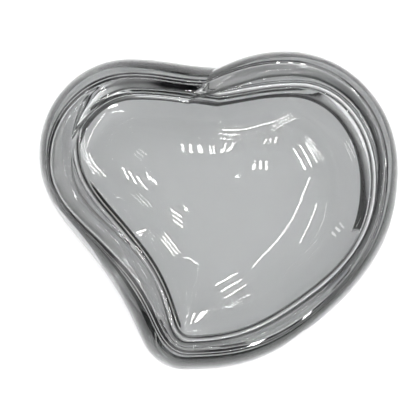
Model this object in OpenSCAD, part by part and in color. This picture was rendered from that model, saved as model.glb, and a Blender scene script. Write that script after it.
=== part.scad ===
// Heart-shaped trinket box in clear crystal: a thick-walled bowl (base) and a
// loose lid that rests on its rim. Millimetres, +Z up, the tip of the heart
// points to -Y. The origin is the middle of the box's footprint, at the foot.

/* [Whole box] */
// Overall width of the heart, at the widest line of the base
heart_w = 127; // [110:1:140]
// Overall depth of the heart, from its tip to the top of the larger lobe
heart_d = 113; // [98:1:125]

/* [Base] */
// Height of the widest line above the foot
belly_z = 16; // [12:0.5:18]
// Height of the flat seat that the lid rests on
seat_z = 31.5; // [26:0.5:38]
// Glass below the lowest point of the bowl
floor_t = 7; // [4:0.5:9]
// How far the bowl's floor climbs from its lowest point to the foot of its wall
floor_rise = 3.4; // [1:0.2:4.5]
// Outward lean of the bowl's wall from its foot to the seat
wall_draft = 1.8; // [1.4:0.1:2.2]

/* [Lid] */
// Height of the lid's rounded border above the seat
border_h = 6.5; // [4.5:0.5:9]
// How far the clear panel sits below the top of the border
panel_drop = 1.6; // [0.6:0.2:2.4]
// Dish of the panel at its middle
panel_sag = 1.4; // [0:0.2:2]
// Thickness of the panel
panel_t = 3; // [2:0.5:3.5]
// Depth of the locating rib below the seat
rib_h = 2.6; // [1.5:0.1:4]
// Width of the locating rib
rib_w = 2; // [1.4:0.1:2.6]
// Gap between the locating rib and the bowl's wall
rib_gap = 0.6; // [0.4:0.1:0.8]

/* [Mesh] */
// Points along each of the nine curves of an outline
steps = 8; // [5:1:12]

/* [Hidden] */
seat_gap = 0.05;
lid_z = seat_z + seat_gap;
top_z = lid_z + border_h;

// Outlines as [x, y, heading in, heading out] at nine places, anticlockwise:
// cleft, top and side of the small lobe, the hollow flank, the neck of the
// tip, the tip, the long flank, side and top of the large lobe.
belly = [
  [-1, 50.3, 202, 177], [-32, 53.2, 180, 180], [-63.5, 19.5, 270, 270],
  [-46, -15, 309, 309], [-28, -44.5, 294, 294], [-12, -56.3, 0, 0],
  [30, -43.2, 37, 37], [63.5, 15, 90, 90], [24, 56.3, 180, 180]
];
well = [
  [-1, 38.4, 188, 172], [-30, 41.2, 180, 180], [-49.7, 21, 270, 270],
  [-33.6, -8.7, 310, 310], [-18.2, -34.3, 289, 289], [-10.5, -45, 0, 0],
  [30, -29.4, 36, 36], [52.2, 10, 90, 90], [26, 41.9, 180, 180]
];
lid_edge = [
  [-6.5, 41.8, 204, 180], [-30, 44, 180, 180], [-58.5, 15.5, 270, 270],
  [-41, -12.6, 315, 315], [-23.6, -35, 296, 296], [-11, -48.8, 0, 0],
  [30, -35.8, 38, 38], [55.8, 14, 90, 90], [22, 49.2, 180, 180]
];
panel = [
  [-11.3, 35.9, 192, 172], [-29, 37.4, 180, 180], [-50.3, 15, 270, 270],
  [-35, -9.6, 316, 316], [-19.4, -33, 288, 288], [-11.5, -45.6, 0, 0],
  [30, -30, 37, 37], [52.9, 13, 90, 90], [24, 44.2, 180, 180]
];
middle = [3 * heart_w / 127, 4 * heart_d / 113];

// One point of the cubic curve between two places of an outline
function along(p, q, t) =
  let (a = [p[0], p[1]], d = [q[0], q[1]], reach = 0.39 * norm(d - a),
       b = a + reach * [cos(p[3]), sin(p[3])],
       c = d - reach * [cos(q[2]), sin(q[2])], s = 1 - t)
  s * s * s * a + 3 * s * s * t * b + 3 * s * t * t * c + t * t * t * d;

// All points of an outline, at the size asked for
function outline(h) = [
  for (i = [0 : len(h) - 1], k = [0 : steps - 1])
    let (p = along(h[i], h[(i + 1) % len(h)], k / steps))
    [p[0] * heart_w / 127, p[1] * heart_d / 113]
];

// An outline moved outward by d, at right angles to itself
function grow(o, d) = [
  for (i = [0 : len(o) - 1])
    let (t = o[(i + 1) % len(o)] - o[(i + len(o) - 1) % len(o)])
    o[i] + d / norm(t) * [t[1], -t[0]]
];

// A blend from outline a (f = 0) to outline b (f = 1)
function blend(a, b, f) = [for (i = [0 : len(a) - 1]) a[i] + f * (b[i] - a[i])];

// An outline shrunk towards the middle of the heart
function inner(o, s) = [for (p = o) middle + s * (p - middle)];

// An outline lifted to height z
function lift(o, z) = [for (p = o) [p[0], p[1], z]];

// A closed solid skinned over rings of equal length. It starts on a flat face,
// or on a point below the first ring, and ends on a point above the last one.
module skin(rings, end_z, start_z = undef) {
  n = len(rings[0]);
  m = len(rings);
  last = (m - 1) * n;
  points = concat([for (r = rings, p = r) p], [[middle[0], middle[1], end_z]],
    is_undef(start_z) ? [] : [[middle[0], middle[1], start_z]]);
  sides = [
    for (j = [0 : m - 2], i = [0 : n - 1])
      let (a = j * n + i, b = j * n + (i + 1) % n)
      each [[a, b + n, b], [a, a + n, b + n]]
  ];
  finish = [for (i = [0 : n - 1]) [last + i, m * n, last + (i + 1) % n]];
  start = is_undef(start_z)
    ? [[for (i = [0 : n - 1]) i]]
    : [for (i = [0 : n - 1]) [i, (i + 1) % n, m * n + 1]];
  polyhedron(points = points, faces = concat(start, sides, finish),
    convexity = 6);
}

module base() {
  wall = outline(well);
  bulge = outline(belly);
  foot = inner(wall, 0.8);
  rim = blend(outline(lid_edge), bulge, 0.15);
  floor_z = floor_t + floor_rise;
  color([0.86, 0.89, 0.9, 0.35])
    skin(concat(
      // flat foot and sloping underside: share of the way to the belly, share
      // of its height
      [for (b = [[0.08, 0], [0.16, 0.02], [0.22, 0.06], [0.55, 0.31],
                 [0.7, 0.43], [0.8, 0.55], [0.87, 0.69]])
        lift(blend(foot, bulge, b[0]), b[1] * belly_z)],
      // shoulder, which rounds over from the belly to the seat
      [for (a = [0, 18, 36, 54, 70, 80])
        lift(blend(bulge, rim, (1 - cos(a)) / (1 - cos(80))),
          belly_z + (seat_z - belly_z) * sin(a) / sin(80))],
      // seat, wall and the corner at the foot of the wall
      [
        lift(grow(wall, wall_draft + 0.5), seat_z),
        lift(grow(wall, wall_draft), seat_z - 0.6),
        lift(grow(wall, 0.5 * wall_draft), floor_z + 7),
        lift(wall, floor_z + 0.8)
      ],
      // floor, a shallow dish
      [for (s = [0.98, 0.92, 0.82, 0.66, 0.46, 0.24])
        lift(inner(wall, s), floor_t + floor_rise * pow(s, 3))]
    ), floor_t);
}

module lid() {
  wall = outline(well);
  edge = outline(lid_edge);
  pane = outline(panel);
  rib_out = wall_draft - rib_gap;
  rib_in = rib_out - rib_w;
  rib_z = lid_z - rib_h;
  pane_z = top_z - panel_drop;
  color([0.86, 0.89, 0.9, 0.35])
    skin(concat(
      // underside of the panel
      [for (s = [0.25, 0.5, 0.75, 0.92, 1])
        lift(inner(grow(wall, rib_in), s),
          pane_z - panel_t - panel_sag * (1 - s * s))],
      // locating rib and the flat that rests on the seat
      [
        lift(grow(wall, rib_in), rib_z + 0.5),
        lift(grow(wall, rib_in + 0.5), rib_z),
        lift(grow(wall, rib_out - 0.5), rib_z),
        lift(grow(wall, rib_out), rib_z + 0.5),
        lift(grow(wall, rib_out), lid_z),
        lift(grow(edge, -0.4), lid_z),
        lift(edge, lid_z + 0.4)
      ],
      // rounded border: share of the way to the panel, share of its height
      [for (b = [[0.08, 0.6], [0.14, 0.77], [0.25, 0.89], [0.4, 0.97], [0.55, 1],
                 [0.75, 0.98], [0.9, 0.93], [0.96, 0.87]])
        lift(blend(edge, pane, b[0]), lid_z + b[1] * border_h)],
      // top of the panel
      [for (s = [1, 0.92, 0.75, 0.5, 0.25])
        lift(inner(pane, s), pane_z - panel_sag * (1 - s * s))]
    ), pane_z - panel_sag, pane_z - panel_t - panel_sag);
}

base();
lid();
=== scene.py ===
"""Heart-shaped crystal trinket box: a thick bowl and its loose lid, on a pale studio floor."""
import math
import bpy
import numpy as np
from mathutils import Matrix, Vector


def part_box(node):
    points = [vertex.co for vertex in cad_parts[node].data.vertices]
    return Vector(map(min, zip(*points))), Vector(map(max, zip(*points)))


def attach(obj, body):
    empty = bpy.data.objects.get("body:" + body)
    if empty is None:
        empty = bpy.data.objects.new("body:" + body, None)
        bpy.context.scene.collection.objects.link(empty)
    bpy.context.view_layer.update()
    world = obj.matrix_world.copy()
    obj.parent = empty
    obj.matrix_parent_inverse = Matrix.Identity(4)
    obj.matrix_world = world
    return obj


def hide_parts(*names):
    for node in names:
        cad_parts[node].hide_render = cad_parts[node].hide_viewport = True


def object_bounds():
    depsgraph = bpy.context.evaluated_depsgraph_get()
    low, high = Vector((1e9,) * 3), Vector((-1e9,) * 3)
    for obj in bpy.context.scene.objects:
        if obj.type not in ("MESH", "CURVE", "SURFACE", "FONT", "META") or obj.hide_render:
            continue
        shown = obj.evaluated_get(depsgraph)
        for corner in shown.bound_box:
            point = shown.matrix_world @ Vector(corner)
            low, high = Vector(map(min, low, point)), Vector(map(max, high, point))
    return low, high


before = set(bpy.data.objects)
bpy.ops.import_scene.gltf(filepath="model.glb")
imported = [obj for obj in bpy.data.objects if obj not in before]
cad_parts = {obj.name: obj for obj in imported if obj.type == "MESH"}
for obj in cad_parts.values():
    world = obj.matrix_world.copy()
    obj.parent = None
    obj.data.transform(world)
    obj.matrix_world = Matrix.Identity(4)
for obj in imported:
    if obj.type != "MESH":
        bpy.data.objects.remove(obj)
cad_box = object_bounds()

# ---------------------------------------------------------------- sizes, from the CAD frame
MM = 0.001
base_lo, base_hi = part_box("base")
lid_lo, lid_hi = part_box("lid")
SIZE = np.array([base_hi.x - base_lo.x, base_hi.y - base_lo.y]) / MM
SCALE = SIZE / np.array([127.0, 112.6])
SEAT = base_hi.z / MM
TOP = lid_hi.z / MM
RIB = lid_lo.z / MM
SEAT_GAP = 0.05                       # between the seat and the lid's border
LID = SEAT + SEAT_GAP
BORDER = TOP - LID
BELLY = 16.0                          # height of the widest line
FLOOR = 7.0                           # glass under the lowest point of the bowl
RISE = 3.4                            # climb of the bowl's floor to the foot of its wall
DRAFT = 1.8                           # outward lean of the bowl's wall
SHOULDER = math.radians(80)           # how far round the shoulder turns before the seat
RIM = 0.15                            # seat's share of the way from the lid's edge to the belly
RIB_GAP = 0.6                         # between the locating rib and the wall
RIB_W = 2.0                           # width of the locating rib
DROP = 1.6                            # panel below the top of the border
SAG = 1.4                             # dish of the panel at its middle
PANE = 3.0                            # thickness of the panel
MIDDLE = np.array([3.0, 4.0]) * SCALE
CRYSTAL_IOR = 1.53
CRYSTAL_TINT = (0.96, 0.965, 0.965)
PAINTED_SHADE_COLOUR = (0.006, 0.006, 0.008)          # painted shade: near-black glass for the dark contour lines, painted where the crystal would show dark surroundings
FLOOR_HALF = 1.6                      # metres
LAMP_HEIGHT = 1.2                     # metres from the box to each strip light

# ---------------------------------------------------------------- heart outlines
# [x, y, heading in, heading out] at the cleft, small lobe, flank, tip and large lobe
BELLY_LINE = [
    (-1, 50.3, 202, 177), (-32, 53.2, 180, 180), (-63.5, 19.5, 270, 270),
    (-46, -15, 309, 309), (-28, -44.5, 294, 294), (-12, -56.3, 0, 0),
    (30, -43.2, 37, 37), (63.5, 15, 90, 90), (24, 56.3, 180, 180)]
WELL_LINE = [
    (-1, 38.4, 188, 172), (-30, 41.2, 180, 180), (-49.7, 21, 270, 270),
    (-33.6, -8.7, 310, 310), (-18.2, -34.3, 289, 289), (-10.5, -45, 0, 0),
    (30, -29.4, 36, 36), (52.2, 10, 90, 90), (26, 41.9, 180, 180)]
LID_LINE = [
    (-6.5, 41.8, 204, 180), (-30, 44, 180, 180), (-58.5, 15.5, 270, 270),
    (-41, -12.6, 315, 315), (-23.6, -35, 296, 296), (-11, -48.8, 0, 0),
    (30, -35.8, 38, 38), (55.8, 14, 90, 90), (22, 49.2, 180, 180)]
PANE_LINE = [
    (-11.3, 35.9, 192, 172), (-29, 37.4, 180, 180), (-50.3, 15, 270, 270),
    (-35, -9.6, 316, 316), (-19.4, -33, 288, 288), (-11.5, -45.6, 0, 0),
    (30, -30, 37, 37), (52.9, 13, 90, 90), (24, 44.2, 180, 180)]
STEPS = 32                            # points along each of the nine curves
REACH = 0.39                          # handle length of a curve, as a share of its chord


def outline(line):
    """Points round a heart, anticlockwise from its cleft, in millimetres."""
    out = []
    for p, q in zip(line, line[1:] + line[:1]):
        a, d = np.array(p[:2], float), np.array(q[:2], float)
        reach = REACH * np.linalg.norm(d - a)
        h, g = math.radians(p[3]), math.radians(q[2])
        b = a + reach * np.array([math.cos(h), math.sin(h)])
        c = d - reach * np.array([math.cos(g), math.sin(g)])
        for k in range(STEPS):
            t = k / STEPS
            s = 1 - t
            out.append(s ** 3 * a + 3 * s * s * t * b + 3 * s * t * t * c + t ** 3 * d)
    return np.array(out) * SCALE


def grow(o, d):
    """An outline moved outward by d millimetres."""
    t = np.roll(o, -1, 0) - np.roll(o, 1, 0)
    n = np.stack([t[:, 1], -t[:, 0]], 1) / np.linalg.norm(t, axis=1)[:, None]
    return o + d * n


def blend(a, b, f):
    """The outline at share f of the way from outline a to outline b."""
    return a + f * (b - a)


def inner(o, s):
    """An outline shrunk towards the middle of the heart."""
    return MIDDLE + s * (o - MIDDLE)


def rounded(path, n=7):
    """A path of (x, z, radius) corners in a cross-section, with each corner rounded off."""
    out = [path[0][:2]]
    for (ax, az, _), (bx, bz, r), (cx, cz, _) in zip(path, path[1:], path[2:]):
        a, b, c = np.array([ax, az]), np.array([bx, bz]), np.array([cx, cz])
        u, v = (a - b) / np.linalg.norm(a - b), (c - b) / np.linalg.norm(c - b)
        cut = min(r, 0.45 * np.linalg.norm(a - b), 0.45 * np.linalg.norm(c - b))
        p, q = b + cut * u, b + cut * v
        corner = np.linspace(0, 1, n + 1) if cut else [0.5]    # a sharp corner is one point
        for t in corner:
            out.append(tuple((1 - t) ** 2 * p + 2 * t * (1 - t) * b + t * t * q))
    out.append(path[-1][:2])
    return out


def skin(name, rings, start_z, end_z, crease):
    """A closed mesh over rings (points, height, depth of painted shade), closed by a point at each
    end.

    The edges at the cleft are sharp on the rings from crease[0] up to crease[1]. The painted shade
    is kept with each point, for the material, which paints those points dark.
    """
    n, m = len(rings[0][0]), len(rings)
    co = np.concatenate([np.column_stack([xy, np.full(n, z)]) for xy, z, _ in rings])
    ends = np.array([[*MIDDLE, end_z], [*MIDDLE, start_z]])
    co = np.concatenate([co, ends]) * MM
    faces = []
    for j in range(m - 1):
        for i in range(n):
            a, b = j * n + i, j * n + (i + 1) % n
            faces.append((a, b, b + n, a + n))
    last = (m - 1) * n
    for i in range(n):
        k = (i + 1) % n
        faces.append((last + i, last + k, m * n))
        faces.append((i, m * n + 1, k))
    mesh = bpy.data.meshes.new(name)
    mesh.from_pydata([tuple(p) for p in co], [], faces)
    mesh.validate()
    mesh.shade_smooth()
    # painted shade: per-point darkness that the crystal material paints on as dark contour lines
    painted_shade = mesh.attributes.new("painted_shade", "FLOAT", "POINT")
    painted_shade.data.foreach_set("value", [r[2] for r in rings for _ in range(n)] + [0.0, 0.0])
    lo, hi = crease
    for e in mesh.edges:
        a, b = e.vertices
        if a < m * n and b < m * n and a % n == 0 and b % n == 0 and lo <= a // n < hi:
            e.use_edge_sharp = True
    obj = bpy.data.objects.new(name, mesh)
    bpy.context.scene.collection.objects.link(obj)
    return obj


# ---------------------------------------------------------------- pieces
def make_base():
    """The bowl: flat foot, sloping underside, belly, shoulder, seat, wall and dished floor."""
    well, belly = outline(WELL_LINE), outline(BELLY_LINE)
    foot = inner(well, 0.8)
    lid_edge = outline(LID_LINE)
    rim = blend(lid_edge, belly, RIM)
    foot_z = FLOOR + RISE
    rings = [(inner(foot, s), 0.0, 0.0) for s in (0.15, 0.4, 0.7, 0.9)]
    under = rounded([(0, 0, 0), (0.15, 0.0, 0.1), (0.8, 0.5, 0.3), (1.0, 1.0, 0)], 12)
    for f, z in under[:-1]:
        rings.append((blend(foot, belly, f), BELLY * z, 0.0))
    # painted shade: the last rings of the shoulder, next to the seat, are painted dark
    for a in np.linspace(0, SHOULDER, 28):
        f = (1 - math.cos(a)) / (1 - math.cos(SHOULDER))
        z = BELLY + (SEAT - BELLY) * math.sin(a) / math.sin(SHOULDER)
        rings.append((blend(belly, rim, f), z, 1.0 if a > SHOULDER - 0.1 else 0.0))
    # painted shade: the seat is painted dark where the lid's edge stands on it, as a dark seam line
    for f, painted_shade_amount in ((0.12, 0.0), (0.1, 1.0), (-0.01, 1.0), (-0.03, 0.0)):
        rings.append((blend(lid_edge, belly, f), SEAT, painted_shade_amount))
    # the wall goes down to its foot, with a painted dark line at the foot and half painted shade
    # above it
    verge, verge_drop = 2.4, 0.55
    path = [(DRAFT + 0.8, SEAT, 0), (DRAFT, SEAT, 0.7),
            (0.5 * DRAFT, foot_z + 7, 4), (0, foot_z - 0.1, 0.7), (-0.7, foot_z - 0.22, 0),
            (-0.8, foot_z - 0.24, 0), (-verge, foot_z - verge_drop, 0)]
    for d, z in rounded(path):
        # painted shade: rings at the foot of the wall are painted fully dark, those just above it
        # half dark
        line = foot_z - 0.23 < z < foot_z + 0.9
        rings.append((grow(well, d), z, 1.0 if line else 0.5 if foot_z < z < foot_z + 5 else 0.0))
    dish = grow(well, -verge)
    for s in np.linspace(1, 0.04, 26)[1:]:
        rings.append((inner(dish, s), FLOOR + (RISE - verge_drop) * s ** 3, 0.0))
    return skin("base_crystal", rings, 0.0, FLOOR, (4, len(rings)))


def make_lid():
    """The lid: dished clear panel, rounded border outside it and a locating rib under it."""
    well, edge, pane = outline(WELL_LINE), outline(LID_LINE), outline(PANE_LINE)
    rib_out = DRAFT - RIB_GAP
    rib_in = rib_out - RIB_W
    pane_z = TOP - DROP
    under = pane_z - PANE
    rings = []
    for s in np.linspace(0.04, 0.98, 20):
        rings.append((inner(grow(well, rib_in), s), under - SAG * (1 - s * s), 0.0))
    first = len(rings)
    # the rib, painted dark on its inner side (painted shade)
    path = [(rib_in - 0.8, under, 0), (rib_in, under, 0.6), (rib_in, RIB, 0.5), (rib_out, RIB, 0.5),
            (rib_out, LID, 0.25), (rib_out + 0.4, LID, 0)]
    for d, z in rounded(path, 5):
        rib_painted_dark = z < under - 0.3 and d < rib_in + 1.3
        rings.append((grow(well, d), z, 1.0 if rib_painted_dark else 0.0))
    # painted shade: the lid's edge is painted part dark
    for d, z in rounded([(-0.9, 0, 0), (0, 0, 0.4), (0, 0.1 * BORDER, 0)], 5):
        rings.append((grow(edge, d), LID + z, 0.7))
    # the border in shares of its width and height, painted dark along its outer edge (painted
    # shade)
    step = 1 - DROP / BORDER
    for f, z in rounded([(0, 0.11, 0), (0.11, 0.8, 0.35), (0.5, 1.02, 0.5), (0.92, 0.94, 0.1),
                         (1.0, step, 0.03), (1.06, step, 0)], 9):
        painted_shade_amount = min(1.0, max(0.0, 1.5 - 9 * f))
        rings.append((blend(edge, pane, f), LID + z * BORDER, painted_shade_amount))
    for s in np.linspace(0.985, 0.04, 26):
        rings.append((inner(pane, s), pane_z - SAG * (1 - s * s), 0.0))
    return skin("lid_crystal", rings, under - SAG, pane_z - SAG, (first, len(rings)))


# ---------------------------------------------------------------- materials
def crystal(name):
    """Polished clear crystal: a faint grey-green body, soft casting waves and handling marks.

    Where the mesh carries painted shade, the glass is painted near-black and lets nothing through.
    """
    mat = bpy.data.materials.new(name)
    mat.use_nodes = True
    nt = mat.node_tree
    bsdf = nt.nodes["Principled BSDF"]
    bsdf.inputs["IOR"].default_value = CRYSTAL_IOR
    bsdf.inputs["Transmission Weight"].default_value = 1.0
    bsdf.inputs["Specular IOR Level"].default_value = 0.5
    coord = nt.nodes.new("ShaderNodeTexCoord")

    def noise(scale, detail, rough):
        n = nt.nodes.new("ShaderNodeTexNoise")
        n.inputs["Scale"].default_value = scale
        n.inputs["Detail"].default_value = detail
        n.inputs["Roughness"].default_value = rough
        nt.links.new(coord.outputs["Object"], n.inputs["Vector"])
        return n

    def ramp(src, lo, hi, a, b):
        r = nt.nodes.new("ShaderNodeMapRange")
        for key, v in (("From Min", lo), ("From Max", hi), ("To Min", a), ("To Max", b)):
            r.inputs[key].default_value = v
        nt.links.new(src.outputs["Fac"], r.inputs["Value"])
        return r

    marks = ramp(noise(900, 4, 0.7), 0.66, 0.9, 0.0, 0.03)
    nt.links.new(marks.outputs["Result"], bsdf.inputs["Roughness"])
    body = noise(30, 2, 0.5)
    mix = nt.nodes.new("ShaderNodeMix")
    mix.data_type = "RGBA"
    mix.inputs[6].default_value = (*CRYSTAL_TINT, 1)
    mix.inputs[7].default_value = (*[min(1, c * 1.02) for c in CRYSTAL_TINT], 1)
    nt.links.new(body.outputs["Fac"], mix.inputs[0])
    # painted shade: the per-point shade, broken into patches, paints the glass near-black and turns
    # off its transmission
    painted_shade = nt.nodes.new("ShaderNodeAttribute")
    painted_shade.attribute_name = "painted_shade"
    painted_shade_patches = ramp(noise(40, 2, 0.6), 0.36, 0.5, 0.88, 1.0)
    painted_shade_amount = nt.nodes.new("ShaderNodeMath")
    painted_shade_amount.operation = "MULTIPLY"
    nt.links.new(painted_shade.outputs["Fac"], painted_shade_amount.inputs[0])
    nt.links.new(painted_shade_patches.outputs["Result"], painted_shade_amount.inputs[1])
    painted_shade_mix = nt.nodes.new("ShaderNodeMix")
    painted_shade_mix.data_type = "RGBA"
    painted_shade_mix.inputs[7].default_value = (*PAINTED_SHADE_COLOUR, 1)
    nt.links.new(painted_shade_amount.outputs[0], painted_shade_mix.inputs[0])
    nt.links.new(mix.outputs[2], painted_shade_mix.inputs[6])
    nt.links.new(painted_shade_mix.outputs[2], bsdf.inputs["Base Color"])
    clear = nt.nodes.new("ShaderNodeMath")
    clear.operation = "SUBTRACT"
    clear.inputs[0].default_value = 1.0
    nt.links.new(painted_shade_amount.outputs[0], clear.inputs[1])
    nt.links.new(clear.outputs[0], bsdf.inputs["Transmission Weight"])
    vol = nt.nodes.new("ShaderNodeVolumeAbsorption")
    vol.inputs["Color"].default_value = (0.02, 0.06, 0.05, 1)
    vol.inputs["Density"].default_value = 5
    nt.links.new(vol.outputs[0], nt.nodes["Material Output"].inputs["Volume"])
    bump = nt.nodes.new("ShaderNodeBump")
    bump.inputs["Strength"].default_value = 0.07
    bump.inputs["Distance"].default_value = 0.0004
    nt.links.new(noise(45, 1, 0.4).outputs["Fac"], bump.inputs["Height"])
    nt.links.new(bump.outputs["Normal"], bsdf.inputs["Normal"])
    return mat


def paper():
    """The pale floor, with a barely visible grain."""
    mat = bpy.data.materials.new("pale_floor")
    mat.use_nodes = True
    nt = mat.node_tree
    bsdf = nt.nodes["Principled BSDF"]
    bsdf.inputs["Roughness"].default_value = 0.9
    bsdf.inputs["Specular IOR Level"].default_value = 0.1
    n = nt.nodes.new("ShaderNodeTexNoise")
    n.inputs["Scale"].default_value = 6
    r = nt.nodes.new("ShaderNodeMapRange")
    r.inputs["To Min"].default_value = 0.9
    r.inputs["To Max"].default_value = 0.92
    nt.links.new(n.outputs["Fac"], r.inputs["Value"])
    nt.links.new(r.outputs["Result"], bsdf.inputs["Base Color"])
    return mat


# ---------------------------------------------------------------- studio
def make_floor():
    """A plain pale sheet just under the foot."""
    mesh = bpy.data.meshes.new("floor")
    h = FLOOR_HALF
    mesh.from_pydata([(-h, -h, 0), (h, -h, 0), (h, h, 0), (-h, h, 0)], [], [(0, 1, 2, 3)])
    obj = bpy.data.objects.new("floor", mesh)
    bpy.context.scene.collection.objects.link(obj)
    obj.location.z = cad_box[0].z - 0.0004
    mesh.materials.append(paper())


def make_world():
    """Soft light that is brightest overhead and falls off to a dim horizon.

    It is weaker for light that has not yet met the floor, so no white veil lies on the lid.
    """
    world = bpy.data.worlds.new("studio")
    bpy.context.scene.world = world
    world.use_nodes = True
    nt = world.node_tree
    bg = nt.nodes["Background"]
    coord = nt.nodes.new("ShaderNodeTexCoord")
    split = nt.nodes.new("ShaderNodeSeparateXYZ")
    nt.links.new(coord.outputs["Generated"], split.inputs[0])
    ramp = nt.nodes.new("ShaderNodeValToRGB")
    e = ramp.color_ramp.elements
    e[0].position, e[0].color = 0.80, (0.05, 0.05, 0.052, 1)
    e[1].position, e[1].color = 0.97, (1.0, 1.0, 1.0, 1)
    nt.links.new(split.outputs["Z"], ramp.inputs[0])
    nt.links.new(ramp.outputs[0], bg.inputs["Color"])
    path = nt.nodes.new("ShaderNodeLightPath")
    part = nt.nodes.new("ShaderNodeMapRange")
    part.inputs["To Min"].default_value = 0.6
    part.inputs["To Max"].default_value = 6.4
    nt.links.new(path.outputs["Diffuse Depth"], part.inputs["Value"])
    nt.links.new(part.outputs["Result"], bg.inputs["Strength"])
    world.cycles.sampling_method = "NONE"


def only_on_glass(light):
    """A strip shows in the crystal, and adds nothing to light that has already met the floor."""
    light.use_nodes = True
    nt = light.node_tree
    path = nt.nodes.new("ShaderNodeLightPath")
    less = nt.nodes.new("ShaderNodeMath")
    less.operation = "LESS_THAN"
    less.inputs[1].default_value = 0.5
    nt.links.new(path.outputs["Diffuse Depth"], less.inputs[0])
    nt.links.new(less.outputs[0], nt.nodes["Emission"].inputs["Strength"])


def strips(name, x, y, length, lean, gap, glow, count=3, width=0.006):
    """Slim strip lights side by side, high above the box in the direction (x, y, 1).

    lean is their turn from the Y axis, gap their spacing and glow their brightness.
    """
    d = Vector((x, y, 1)).normalized()
    along = Vector((math.sin(lean), math.cos(lean), 0))
    along = (along - d * along.dot(d)).normalized()
    side = along.cross(d)
    box_middle = Vector((0, 0, 0.02))
    for k in range(count):
        light = bpy.data.lights.new(f"{name}_{k}", "AREA")
        light.shape = "RECTANGLE"
        light.size, light.size_y = width, length
        light.energy = glow * math.pi * light.size * light.size_y
        only_on_glass(light)
        obj = bpy.data.objects.new(light.name, light)
        bpy.context.scene.collection.objects.link(obj)
        m = Matrix((side, along, d)).transposed().to_4x4()
        m.translation = box_middle + d * LAMP_HEIGHT + side * (gap * (k - (count - 1) / 2))
        obj.matrix_world = m
        obj.visible_diffuse = False


def make_camera():
    """Almost straight above the box, leaning a little towards its tip."""
    pos = Vector((-0.020, -0.025, 0.400))
    target = Vector((-0.004, 0.0005, 0.016))
    d = (target - pos).normalized()
    r = d.cross(Vector((0, 1, 0))).normalized()
    u = r.cross(d)
    cam = bpy.data.cameras.new("camera")
    cam.sensor_width = 36
    cam.lens = 93.86
    obj = bpy.data.objects.new("camera", cam)
    m = Matrix((r, u, -d)).transposed().to_4x4()
    m.translation = pos
    obj.matrix_world = m
    bpy.context.scene.collection.objects.link(obj)
    bpy.context.scene.camera = obj


base = make_base()
base.data.materials.append(crystal("base_crystal"))
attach(base, "base")
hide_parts("base")

lid = make_lid()
lid.data.materials.append(crystal("lid_crystal"))
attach(lid, "lid")
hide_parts("lid")

make_floor()
make_world()
# a close group of hair-thin lamps, then groups of three round it, then two long single ones
strips("strips_a", 0.077, 0.123, 0.009, 0.25, 0.0045, glow=70, width=0.0017)
strips("strips_b", 0.03, 0.25, 0.050, 0.05, 0.016, glow=40)
strips("strips_c", 0.14, 0.25, 0.030, 0.1, 0.018, glow=40)
strips("strips_d", 0.12, 0.15, 0.032, 0.05, 0.016, glow=40)
strips("strips_e", 0.25, 0.19, 0.085, -0.45, 0.026, glow=50)
strips("strips_f", 0.10, -0.13, 0.070, 1.0, 0.036, glow=50)
strips("strips_g", -0.14, 0.01, 0.060, -0.5, 0.020, glow=12)
strips("strips_h", -0.11, 0.185, 0.035, -0.8, 0.016, glow=10)
strips("strips_i", 0.20, 0.02, 0.28, 0.5, 0.0, count=1, glow=32)
strips("strips_j", 0.27, 0.0, 0.14, 0.3, 0.0, count=1, glow=32)
make_camera()

scene = bpy.context.scene
scene.view_settings.view_transform = "Standard"
scene.cycles.max_bounces = 24
scene.cycles.transmission_bounces = 24
scene.cycles.glossy_bounces = 12
scene.cycles.sample_clamp_indirect = 0.0
